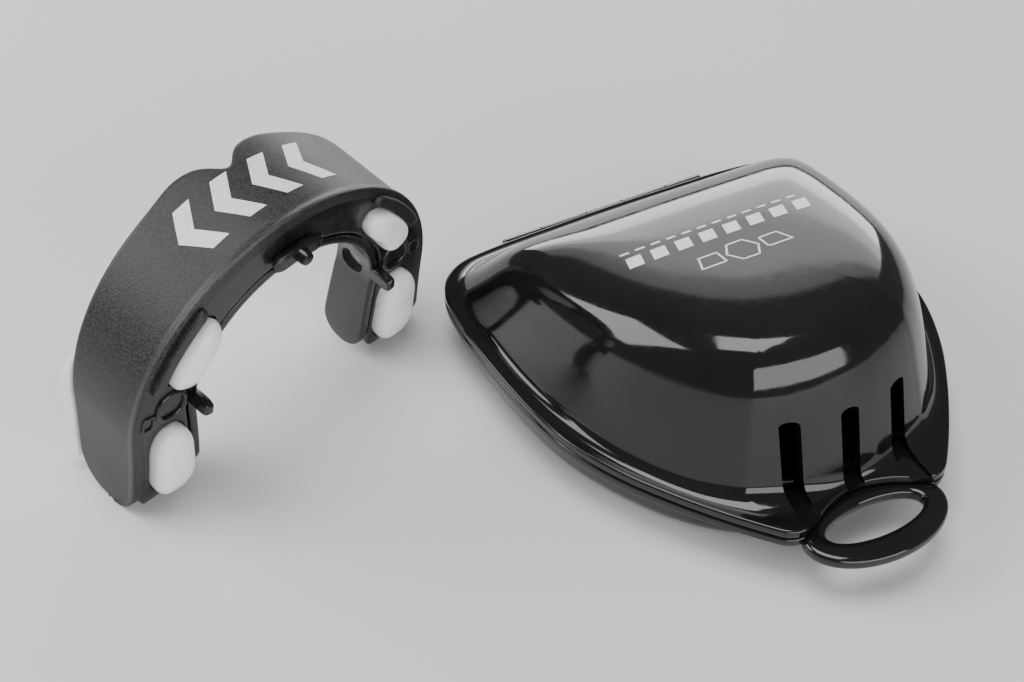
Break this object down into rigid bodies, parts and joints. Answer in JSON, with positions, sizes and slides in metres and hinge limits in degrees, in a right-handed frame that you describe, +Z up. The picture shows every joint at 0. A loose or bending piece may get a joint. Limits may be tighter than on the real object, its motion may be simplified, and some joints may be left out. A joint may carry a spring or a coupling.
{
  "type": "mouthguard with case",
  "caption": "Rounded clamshell case with vent slots, a rear hinge and a hang loop, beside a gel-lined U-shaped mouthguard standing on its arm tips.",
  "frame": {"origin": "centre of the case's flat underside, on the table", "axes": "+Z up, -Y towards the hang loop, the hinge runs along X at the +Y end, and the mouthguard stands on the -X side"},
  "size_m": [0.1383, 0.1024, 0.0487],
  "materials": {
    "case_black": "polished black injection-moulded plastic",
    "guard_black": "fine-grained satin black thermoplastic rubber",
    "gel_white": "smooth milky white gel with a soft sheen",
    "pin_steel": "plain drawn steel wire"
  },
  "bodies": {
    "case": {"case_base": "case_black", "hinge_pin": "pin_steel"},
    "lid": {"case_lid": "case_black"},
    "mouthguard": {"guard_shell": "guard_black", "guard_inner_frame": "guard_black", "guard_gel_liner": "gel_white", "guard_bridge": "guard_black", "bite_pad_front_right": "gel_white", "bite_pad_front_left": "gel_white", "bite_pad_rear_right": "gel_white", "bite_pad_rear_left": "gel_white"}
  },
  "joints": [
    {"name": "lid_hinge", "type": "hinge", "parent": "case", "child": "lid", "pos_m": [0, 0.0416, 0.008], "axis": [-1, 0, 0], "range_deg": [0, 110]},
    {"name": "guard_lift", "type": "slide", "parent": "case", "child": "mouthguard", "axis": [0, 0, 1], "range_m": [0, 0.08]}
  ]
}
